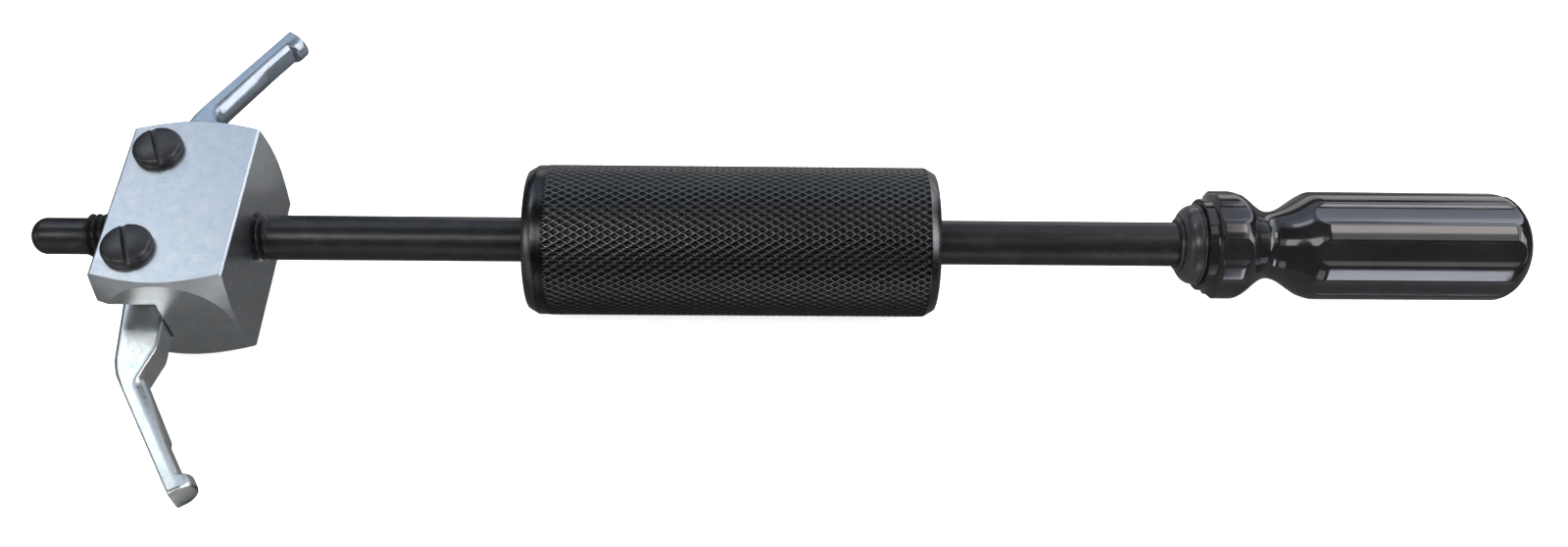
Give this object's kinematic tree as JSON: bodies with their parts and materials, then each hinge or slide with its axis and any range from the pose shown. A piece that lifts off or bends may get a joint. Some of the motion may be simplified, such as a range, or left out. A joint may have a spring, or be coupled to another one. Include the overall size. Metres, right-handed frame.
{
  "type": "slide hammer puller with inside jaws",
  "caption": "Slide hammer puller: square jaw block with swinging inside jaws on a threaded rod, a knurled sliding weight, a stop collar and a fluted screwdriver-type handle.",
  "frame": {"origin": "on the rod's axis where the dome of its nose starts, 23.8 mm in front of the jaw block", "axes": "+X along the rod from the nose to the handle, +Y along the line of the two jaw pivots to the upper jaw, +Z along the pivot screws to their slotted heads"},
  "size_m": [0.4265, 0.1614, 0.0428],
  "materials": {
    "zinc_plated_steel": "satin",
    "black_oxide_steel": "satin",
    "knurled_black_steel": "matte",
    "black_handle_plastic": "gloss"
  },
  "bodies": {
    "jaw_block": {"jaw_block": "zinc_plated_steel", "upper_pivot_screw": "black_oxide_steel", "lower_pivot_screw": "black_oxide_steel", "upper_jaw_spacer": "zinc_plated_steel", "lower_jaw_spacer": "zinc_plated_steel"},
    "upper_jaw": {"upper_jaw": "zinc_plated_steel"},
    "lower_jaw": {"lower_jaw": "zinc_plated_steel"},
    "rod_carriage": {"stop_collar": "black_oxide_steel"},
    "rod_and_handle": {"puller_rod": "black_oxide_steel", "handle": "black_handle_plastic"},
    "slide_hammer": {"slide_hammer": "knurled_black_steel"}
  },
  "joints": [
    {"name": "upper_jaw_swing", "type": "hinge", "parent": "jaw_block", "child": "upper_jaw", "pos_m": [0.0326, 0.017, 0], "axis": [0, 0, 1], "range_deg": [0, 105]},
    {"name": "lower_jaw_swing", "type": "hinge", "parent": "jaw_block", "child": "lower_jaw", "pos_m": [0.0326, -0.017, 0], "axis": [0, 0, -1], "range_deg": [0, 105]},
    {"name": "rod_feed", "type": "slide", "parent": "jaw_block", "child": "rod_carriage", "axis": [-1, 0, 0], "range_m": [-0.028, 0.0044]},
    {"name": "rod_turn", "type": "hinge", "parent": "rod_carriage", "child": "rod_and_handle", "pos_m": [0, 0, 0], "axis": [-1, 0, 0], "range_deg": [-5159, 811]},
    {"name": "hammer_slide", "type": "slide", "parent": "rod_carriage", "child": "slide_hammer", "axis": [1, 0, 0], "range_m": [-0.0723, 0.0699]}
  ],
  "couplings": [
    {"joint": "rod_turn", "follows": "rod_feed", "rad_per_m": 3215.5}
  ]
}
